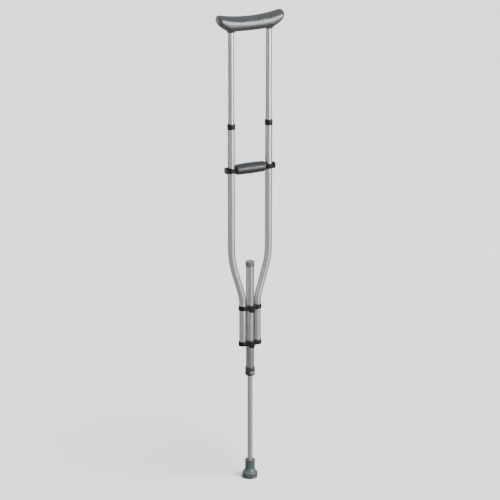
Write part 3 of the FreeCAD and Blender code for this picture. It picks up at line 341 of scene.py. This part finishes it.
def plated(name, level, tint=(0.0, 0.0, 0.0), rough=0.26, metallic=1.0, scale=1400):
    """Plated or blackened steel: mottled crystals, tool marks and a few dull spots."""
    finish = Finish(name, Metallic=metallic)
    crystals = finish.cells(scale)
    marks = finish.noise(2400, detail=2.0, stretch=(1.0, 1.0, 0.1))
    spots = finish.span(finish.noise(240, detail=4.0), 0.58, 0.70)
    base = finish.mix(crystals, grey(level, tint), grey(level * 0.78, tint))
    base = finish.mix(finish.times(spots, 0.35), base, grey(level * 0.6, tint))
    finish.colour(base)
    polish = finish.span(marks, 0.3, 0.7, rough - 0.05, rough + 0.06)
    finish.roughness(finish.plus(polish, finish.times(spots, 0.12)))
    finish.bumps((crystals, 0.00004), (marks, 0.00003))
    return finish.material


def paint(material, *nodes):
    """Gives CAD nodes a material."""
    for node in nodes:
        slots = NODES[node].data.materials
        slots.clear()
        slots.append(material)


# The upper tubes are rubbed from this far below their collars' tops to this far above them, and
# the leg from this height to this far above the lower collar's foot.
RUB_BELOW_TOP, RUB_ABOVE_TOP = 0.02, 0.27
LEG_RUB_START, LEG_RUB_PAST = 0.06, 0.01


def paint_tubes():
    lowest = middle("leg_lock_pin").z - TRAVEL["leg_slide"][1]
    behind = hole_row("y", 0.0, 1, lowest, "leg_slide")
    leg_rubbed = (LEG_RUB_START, low("lower_collar").z + LEG_RUB_PAST)
    paint(aluminium("leg_aluminium", "z", [behind], leg_rubbed), "leg_tube")
    clamp = middle("lower_clamp_back").z
    # The centre tube is painted darker all over and darker still below the lower clamp: both are painted shade.
    paint(aluminium("centre_aluminium", "z", shade=0.86, painted_shade_below=clamp), "centre_tube")
    paint(aluminium("core_aluminium", "x"), "handle_core")
    tube_x = middle("right_upper_tube").x
    lowest = middle("right_snap_button").z + TRAVEL["underarm_slide"][0]
    outside = hole_row("x", tube_x, 1, lowest, "underarm_slide")
    lowest = middle("right_handle_lock_pin").z + TRAVEL["handle_slide"][0]
    inside = hole_row("x", tube_x, -1, lowest, "handle_slide")
    paint(aluminium("bow_aluminium", "z", [outside, inside]), "left_bow_tube", "right_bow_tube")
    collar_top = high("right_upper_collar").z
    rubbed = (collar_top - RUB_BELOW_TOP, collar_top + RUB_ABOVE_TOP)
    paint(aluminium("upper_aluminium", "z", rubbed=rubbed), "left_upper_tube", "right_upper_tube")


SMOOTH_GRAIN = 0.00002  # depth of the grain on buttons


def paint_fittings():
    black = moulded("black_moulding", 0.006, (0.0, 0.0004, 0.0008), shine=0.20)
    paint(
        black,
        "upper_clamp_front", "upper_clamp_back", "lower_clamp_front", "lower_clamp_back",
        "bow_end_plugs", "leg_guide_bush", "leg_top_glide", "underarm_bar",
        "left_handle_clip", "right_handle_clip",
    )
    button = moulded("button_black", 0.006, rough=0.38, grain=SMOOTH_GRAIN, shine=0.26)
    paint(button, "left_handle_button", "right_handle_button")
    lower_grey = moulded("grey_moulding", 0.040, (0.0, 0.002, 0.004), rough=0.42)
    paint(lower_grey, "lower_collar", "lower_collar_cap")
    bush = moulded("collar_moulding", 0.012, (0.0, 0.0008, 0.0016), rough=0.40, shine=0.28)
    paint(bush, "left_upper_collar", "right_upper_collar")
    paint(moulded("cap_moulding", 0.170, (0.0, 0.002, 0.006), rough=0.44), "centre_tube_cap")
    release = moulded("release_grey", 0.200, (0.0, 0.004, 0.010), rough=0.34, grain=SMOOTH_GRAIN)
    paint(release, "leg_release_button")
    paint(rubber("tip_rubber", 0.072, (0.0, 0.020, 0.030)), "crutch_tip")
    zinc = plated("zinc_plate", 0.62, (0.0, 0.004, 0.010))
    paint(
        zinc,
        "clamp_nuts", "collar_pins", "leg_lock_pin", "tip_washer", "underarm_rivets", "handle_pins",
        "left_snap_button", "right_snap_button", "left_handle_lock_pin", "right_handle_lock_pin",
    )
    paint(plated("black_oxide", 0.030, rough=0.34, metallic=0.6), "clamp_bolts")
    springs = [name for name in NODES if name.endswith("_spring")]
    paint(plated("spring_wire", 0.50, (0.0, 0.004, 0.008), rough=0.22, scale=3000), *springs)


# ---------------------------------------------------------------- mesh tools


def new_piece(name, bm, material):
    """A smooth-shaded object from a bmesh, with its faces turned outwards."""
    bmesh.ops.recalc_face_normals(bm, faces=bm.faces)
    mesh = bpy.data.meshes.new(name)
    bm.to_mesh(mesh)
    bm.free()
    piece = bpy.data.objects.new(name, mesh)
    bpy.context.scene.collection.objects.link(piece)
    mesh.materials.append(material)
    mesh.shade_smooth()
    return piece


def skin_over(rings, closed_ends=True):
    """A mesh through rings of points that all have the same number of points."""
    bm = bmesh.new()
    rows = [[bm.verts.new(point) for point in ring] for ring in rings]
    count = len(rows[0])
    for row, following in zip(rows, rows[1:]):
        for here in range(count):
            there = (here + 1) % count
            bm.faces.new((row[here], row[there], following[there], following[here]))
    if closed_ends:
        bm.faces.new(rows[0])
        bm.faces.new(rows[-1])
    return bm


def apply_modifiers(piece):
    """Makes what the modifiers show the piece's own mesh."""
    graph = bpy.context.evaluated_depsgraph_get()
    mesh = bpy.data.meshes.new_from_object(piece.evaluated_get(graph))
    piece.modifiers.clear()
    piece.data = mesh
    mesh.shade_smooth()


def evened(piece, passes):
    """Smooths away the steps that voxels leave."""
    smooth = piece.modifiers.new("even", "SMOOTH")
    smooth.factor = 0.5
    smooth.iterations = passes
    apply_modifiers(piece)


REMESH_PASSES, SWOLLEN_PASSES = 6, 8  # smoothing after a remesh, and after swelling


def remeshed(piece, voxel):
    """Gives a piece an even mesh of small squares."""
    modifier = piece.modifiers.new("voxels", "REMESH")
    modifier.mode = "VOXEL"
    modifier.voxel_size = voxel
    apply_modifiers(piece)
    evened(piece, REMESH_PASSES)


SWELL_PRESSURE = 4.0
SWELL_FRAMES = 20
SKIN_STIFFNESS = 18.0
SKIN_BENDING = 2.0


def swollen(piece, cap):
    """Swells a soft piece with a cloth simulation. No point moves further than cap."""
    rest = [vertex.co.copy() for vertex in piece.data.vertices]
    cloth = piece.modifiers.new("swell", "CLOTH")
    settings = cloth.settings
    settings.use_pressure = True
    settings.uniform_pressure_force = SWELL_PRESSURE
    settings.effector_weights.gravity = 0.0
    settings.tension_stiffness = SKIN_STIFFNESS
    settings.compression_stiffness = SKIN_STIFFNESS
    settings.bending_stiffness = SKIN_BENDING
    cloth.point_cache.frame_start = 1
    cloth.point_cache.frame_end = SWELL_FRAMES
    for number in range(1, SWELL_FRAMES + 1):
        bpy.context.scene.frame_set(number)
    apply_modifiers(piece)
    bpy.context.scene.frame_set(1)
    for vertex, start in zip(piece.data.vertices, rest):
        moved = vertex.co - start
        if moved.length > cap:
            vertex.co = start + moved * (cap / moved.length)


def subdivided(piece):
    modifier = piece.modifiers.new("finer", "SUBSURF")
    modifier.levels = 1
    modifier.render_levels = 1
    apply_modifiers(piece)


def surface_of(piece):
    """A piece's surface, for rays to be cast at."""
    return BVHTree.FromPolygons(
        [vertex.co for vertex in piece.data.vertices],
        [polygon.vertices for polygon in piece.data.polygons],
    )


def bead(name, points, radius, material):
    """A thin closed line of moulding flash through points."""
    curve = bpy.data.curves.new(name, "CURVE")
    curve.dimensions = "3D"
    curve.bevel_depth = radius
    curve.bevel_resolution = 2
    spline = curve.splines.new("POLY")
    spline.points.add(len(points) - 1)
    for knot, point in zip(spline.points, points):
        knot.co = (*point, 1.0)
    spline.use_cyclic_u = True
    piece = bpy.data.objects.new(name, curve)
    bpy.context.scene.collection.objects.link(piece)
    curve.materials.append(material)
    return piece


# ---------------------------------------------------------------- the underarm pad

PAD_SETBACK = 0.0015  # the pad starts this much smaller, and swells back
PAD_SWELL = 0.0035
PAD_VOXEL = 0.003
PAD_END_THICK = 0.0320
PAD_END_ROUND = 0.0100
PAD_END_DEPTH, PAD_END_HEIGHT = 0.58, 0.62  # shares of the section that are left at the very ends
PAD_SQUARENESS = 2.4  # 2 is an ellipse, and more is squarer
KNEE_PAST_TUBE = 0.001  # the underside turns up this far outside the tubes
KNEE_RISE = 0.0024  # and stands this much higher there than in the middle
KNEE_STRAIGHT = 0.75  # share of the rise beyond the knee that is straight, the rest being curved
RING_POINTS = 56


def places_along(half, steps):
    """Places from -half to half, closer together towards the ends."""
    turns = range(-steps, steps + 1)
    return [half * math.sin(math.pi / 2 * turn / steps) for turn in turns]


def eased(share):
    """Quarter circle from 1 to 0 as share goes from 0 to 1."""
    return math.sqrt(max(0.0, 1.0 - share * share))


def pad_heights(x):
    """The heights of the pad's underside and top at x."""
    lowest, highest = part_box("underarm_pad")
    knee = high("right_upper_tube").x + KNEE_PAST_TUBE
    top_middle = MOUNTS["underarm_saddle"].z
    top = top_middle + (highest.z - top_middle) * (x / highest.x) ** 2
    knee_bottom = lowest.z + KNEE_RISE
    if abs(x) < knee:
        bottom = lowest.z + (knee_bottom - lowest.z) * (x / knee) ** 2
    else:
        beyond = (abs(x) - knee) / (highest.x - knee)
        rise = highest.z - PAD_END_THICK - knee_bottom
        curved = (1 - KNEE_STRAIGHT) * beyond * beyond
        bottom = knee_bottom + rise * (KNEE_STRAIGHT * beyond + curved)
    return bottom, top


def pad_ring(x, inset):
    """The pad's outline across its length at x."""
    highest = high("underarm_pad")
    half = highest.x - inset
    bottom, top = pad_heights(x)
    rounding = eased(max(0.0, (abs(x) - half + PAD_END_ROUND) / PAD_END_ROUND))
    half_deep = (highest.y - inset) * (PAD_END_DEPTH + (1 - PAD_END_DEPTH) * rounding)
    half_tall = ((top - bottom) / 2 - inset) * (PAD_END_HEIGHT + (1 - PAD_END_HEIGHT) * rounding)
    centre = (top + bottom) / 2
    power = 2 / PAD_SQUARENESS
    ring = []
    for step in range(RING_POINTS):
        angle = 2 * math.pi * step / RING_POINTS
        across, up = math.cos(angle), math.sin(angle)
        y = math.copysign(abs(across) ** power, across) * half_deep
        z = math.copysign(abs(up) ** power, up) * half_tall
        ring.append(Vector((x, y, centre + z)))
    return ring


LIP_POINTS = 40
LIP_BORE_GAP = 0.00015
LIP_DROP = 0.0016  # how far the neck hangs below the pad's skin
LIP_SEARCH = 0.0030  # the skin is looked for this far outside the tube
LIP_PROFILE = (
    # reach outside the bore, height above the neck's lowest edge
    (0.0, 0.0120),
    (0.0, 0.0008),
    (0.0006, 0.0001),
    (0.0014, 0.0),
    (0.0024, 0.0004),
    (0.0031, 0.0014),
    (0.0036, 0.0034),
    (0.0046, 0.0060),
    (0.0070, 0.0120),
)


def ring_round(centre, radius, height):
    """Points on a level circle."""
    ring = []
    for step in range(LIP_POINTS):
        angle = 2 * math.pi * step / LIP_POINTS
        ring.append(Vector((
            centre.x + radius * math.cos(angle),
            radius * math.sin(angle),
            height,
        )))
    return ring


def pad_lip(name, side, surface, material):
    """The moulded neck of the pad round an upper tube."""
    tube_low, tube_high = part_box(f"{side}_upper_tube")
    centre = (tube_low + tube_high) / 2
    radius = (tube_high.x - tube_low.x) / 2
    well_below = low("underarm_pad").z - 0.05
    starts = ring_round(centre, radius + LIP_SEARCH, well_below)
    skin = min(surface.ray_cast(start, Vector((0, 0, 1)))[0].z for start in starts)
    foot = skin - LIP_DROP
    bore = radius + LIP_BORE_GAP
    rings = [ring_round(centre, bore + reach, foot + height) for reach, height in LIP_PROFILE]
    piece = new_piece(name, skin_over(rings + rings[:1], closed_ends=False), material)
    subdivided(piece)
    return piece


SEAM_STEPS = 40
SEAM_RADIUS = 0.0004
SEAM_SUNK = 0.0001  # how far the seam's middle lies under the pad's skin


def pad_seam(surface, material):
    """The line of flash round the pad, over its top and underside, where its mould's halves met."""
    reach = high("underarm_pad").x - PAD_END_ROUND
    places = [reach * step / SEAM_STEPS for step in range(-SEAM_STEPS, SEAM_STEPS + 1)]
    over = [(x, 90) for x in places]
    right_end = [(reach, degrees) for degrees in range(75, -90, -15)]
    under = [(x, -90) for x in reversed(places)]
    left_end = [(-reach, degrees) for degrees in range(-105, -270, -15)]
    points = []
    for x, degrees in over + right_end + under + left_end:
        angle = math.radians(degrees)
        direction = Vector((math.cos(angle), 0, math.sin(angle)))
        inside = Vector((x, 0, sum(pad_heights(x)) / 2))
        points.append(surface.ray_cast(inside, direction)[0] - direction * SEAM_SUNK)
    return bead("pad_mould_seam", points, SEAM_RADIUS, material)


def make_underarm_pad():
    material = foam("pad_foam_skin", 0.046, (0.0, 0.006, 0.011), cell=1500, rough=0.34, shine=0.95)
    half = high("underarm_pad").x - PAD_SETBACK
    rings = [pad_ring(x, PAD_SETBACK) for x in places_along(half, 36)]
    pad = new_piece("underarm_foam_pad", skin_over(rings), material)
    remeshed(pad, PAD_VOXEL)
    swollen(pad, cap=PAD_SWELL)
    evened(pad, SWOLLEN_PASSES)
    subdivided(pad)
    surface = surface_of(pad)
    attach(pad, "underarm")
    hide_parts("underarm_pad")
    for side in SIDES:
        lip = pad_lip(f"{side}_pad_lip", side, surface, material)
        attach(lip, "underarm")
    seam = pad_seam(surface, material)
    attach(seam, "underarm")


# ---------------------------------------------------------------- the hand grip

GRIP_SETBACK = 0.0008
GRIP_SWELL = 0.0012
GRIP_VOXEL = 0.0025
GRIP_END_ROUND = 0.0060
GRIP_END_SHARE = 0.74  # share of the radius that is left at the very ends
GRIP_WAIST = 0.0015  # how much thinner the grip is at its ends than in its middle
RECESS_GAP = 0.0003  # clearance round the clips, which the grip's ends close round
RECESS_EDGE = math.radians(40)


def grip_ring(x, inset):
    """The grip's outline at x."""
    lowest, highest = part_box("hand_grip")
    centre = (lowest + highest) / 2
    half = highest.x - inset
    widest = (highest.z - lowest.z) / 2 - inset
    narrowest = widest - GRIP_WAIST
    rounding = eased(max(0.0, (abs(x) - half + GRIP_END_ROUND) / GRIP_END_ROUND))
    barrel = widest - (widest - narrowest) * (x / half) ** 2
    radius = barrel * (GRIP_END_SHARE + (1 - GRIP_END_SHARE) * rounding)
    ring = []
    for step in range(RING_POINTS):
        angle = 2 * math.pi * step / RING_POINTS
        ring.append(centre + Vector((x, radius * math.cos(angle), radius * math.sin(angle))))
    return ring


def cut_out(piece, cutter):
    """Takes one mesh away from another."""
    modifier = piece.modifiers.new("cut", "BOOLEAN")
    modifier.operation = "DIFFERENCE"
    modifier.solver = "EXACT"
    modifier.object = cutter
    apply_modifiers(piece)
    bpy.data.objects.remove(cutter)


def recess_cutter(side, material):
    """A drum that clears the clip at one end of the grip, where its button is pressed."""
    clip_low, clip_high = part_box("right_handle_clip")
    radius = (clip_high.y - clip_low.y) / 2 + RECESS_GAP
    drum = bmesh.new()
    bmesh.ops.create_cone(
        drum,
        cap_ends=True,
        segments=64,
        radius1=radius,
        radius2=radius,
        depth=clip_high.z - clip_low.z + RECESS_GAP * 2,
    )
    tube_x = middle("right_upper_tube").x
    pressed_x = tube_x - TRAVEL["left_handle_press"][1]
    place = Vector((pressed_x * side, 0, middle("hand_grip").z))
    bmesh.ops.translate(drum, verts=drum.verts, vec=place)
    return new_piece("recess_cutter", drum, material)


def make_hand_grip():
    material = foam("grip_foam_skin", 0.028, (0.0, 0.004, 0.008), cell=1900, rough=0.42, shine=0.42)
    half = high("hand_grip").x - GRIP_SETBACK
    rings = [grip_ring(x, GRIP_SETBACK) for x in places_along(half, 28)]
    grip = new_piece("foam_hand_grip", skin_over(rings), material)
    remeshed(grip, GRIP_VOXEL)
    swollen(grip, cap=GRIP_SWELL)
    evened(grip, SWOLLEN_PASSES)
    subdivided(grip)
    for side in SIDES.values():
        cut_out(grip, recess_cutter(side, material))
    grip.data.set_sharp_from_angle(angle=RECESS_EDGE)
    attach(grip, "handle")
    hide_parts("hand_grip")


# ---------------------------------------------------------------- the springs

SPRINGS = (
    # spring, body it sits in, press that shortens it, number of its axis, side of its fixed end
    ("leg_lock_spring", "frame", "leg_button_press", 1, 1),
    ("left_snap_spring", "underarm", "left_snap_press", 0, 1),
    ("right_snap_spring", "underarm", "right_snap_press", 0, -1),
    ("left_handle_spring", "handle", "left_handle_press", 0, 1),
    ("right_handle_spring", "handle", "right_handle_press", 0, -1),
)


def make_springs():
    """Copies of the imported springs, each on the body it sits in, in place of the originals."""
    for node, body, press, axis, fixed_side in SPRINGS:
        spring = bpy.data.objects.new(f"{node}_shortening", NODES[node].data.copy())
        bpy.context.scene.collection.objects.link(spring)
        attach(spring, body)
        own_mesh(spring)
        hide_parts(node)


# ---------------------------------------------------------------- the room


FLOOR_HALF = 30
FLOOR_GAP = 0.0003


def make_floor():
    """A pale floor that throws only a little light back up."""
    finish = Finish("floor_paint", Specular_IOR_Level=0.2)
    seen = finish.add("LightPath").outputs["Is Camera Ray"]
    pale = finish.mix(finish.noise(3, detail=2.0), (0.90, 0.90, 0.90), (0.93, 0.93, 0.93))
    finish.colour(finish.mix(seen, (0.24, 0.24, 0.24), pale))
    finish.roughness(finish.span(finish.noise(8, detail=3.0), 0.3, 0.7, 0.60, 0.70))
    bm = bmesh.new()
    bmesh.ops.create_grid(bm, x_segments=1, y_segments=1, size=FLOOR_HALF)
    floor = new_piece("floor", bm, finish.material)
    floor.location.z = CAD_BOX[0].z - FLOOR_GAP


SOFT_BOXES = (
    # name, degrees round from the front, distance, middle height, width, height, watts
    ("key", 26, 3.0, 1.0, 0.9, 1.9, 46),
    ("band", 26, 3.0, 1.65, 1.8, 0.36, 135),
    ("fill", -72, 2.6, 1.15, 0.6, 2.2, 7),
    ("rim", 128, 2.8, 1.15, 0.6, 2.2, 10),
    ("back", -160, 2.8, 1.15, 0.6, 2.2, 10),
)
SKY_COLOUR = (0.97, 0.985, 1.0, 1.0)
SKY_STRENGTH = 0.30
OVERHEAD_FROM = (0.22, -0.42, 1.0)
OVERHEAD_STRENGTH = 6.4
OVERHEAD_ANGLE = math.radians(34)


def soft_box(name, place, aim, width, height, power):
    """A rectangular soft light that is seen only where something glossy mirrors it."""
    light = bpy.data.lights.new(name, "AREA")
    light.shape = "RECTANGLE"
    light.size = width
    light.size_y = height
    light.energy = power
    lamp = bpy.data.objects.new(name, light)
    lamp.location = place
    lamp.rotation_euler = (Vector(aim) - Vector(place)).to_track_quat("-Z", "Y").to_euler()
    lamp.visible_camera = False
    lamp.visible_diffuse = False
    bpy.context.scene.collection.objects.link(lamp)


def overhead_light():
    """Broad light from above that nothing glossy mirrors."""
    light = bpy.data.lights.new("overhead", "SUN")
    light.energy = OVERHEAD_STRENGTH
    light.angle = OVERHEAD_ANGLE
    lamp = bpy.data.objects.new("overhead", light)
    lamp.rotation_euler = Vector(OVERHEAD_FROM).to_track_quat("Z", "Y").to_euler()
    lamp.visible_glossy = False
    bpy.context.scene.collection.objects.link(lamp)


def light_room():
    world = bpy.data.worlds.new("studio")
    world.use_nodes = True
    background = world.node_tree.nodes["Background"]
    background.inputs["Color"].default_value = SKY_COLOUR
    background.inputs["Strength"].default_value = SKY_STRENGTH
    bpy.context.scene.world = world
    for name, degrees, distance, height, width, tall, power in SOFT_BOXES:
        angle = math.radians(degrees)
        place = (math.sin(angle) * distance, -math.cos(angle) * distance, height)
        soft_box(name, place, (0, 0, height), width, tall, power)
    overhead_light()


CAMERA_AZIMUTH = math.radians(-26)
CAMERA_ELEVATION = math.radians(18)
CAMERA_LENS = 200
FRAME_SHARE = 0.94  # how much of the picture's height the crutch fills


def make_camera():
    """A camera far off in front and to the left, with the whole crutch upright in its picture."""
    lowest, highest = CAD_BOX
    level = math.cos(CAMERA_ELEVATION)
    back = Vector((
        math.sin(CAMERA_AZIMUTH) * level,
        -math.cos(CAMERA_AZIMUTH) * level,
        math.sin(CAMERA_ELEVATION),
    ))
    camera = bpy.data.cameras.new("camera")
    camera.lens = CAMERA_LENS
    shown = (highest.z - lowest.z) * level + (highest.y - lowest.y) * math.sin(CAMERA_ELEVATION)
    distance = shown / FRAME_SHARE / (camera.sensor_width / camera.lens)
    holder = bpy.data.objects.new("camera", camera)
    holder.location = (lowest + highest) / 2 + back * distance
    holder.rotation_euler = back.to_track_quat("Z", "Y").to_euler()
    bpy.context.scene.collection.objects.link(holder)
    bpy.context.scene.camera = holder


CAD_EDGE = math.radians(35)

paint_tubes()
paint_fittings()
make_underarm_pad()
make_hand_grip()
make_springs()
for cad_node in NODES.values():
    cad_node.data.shade_smooth()
    cad_node.data.set_sharp_from_angle(angle=CAD_EDGE)
make_floor()
light_room()
make_camera()
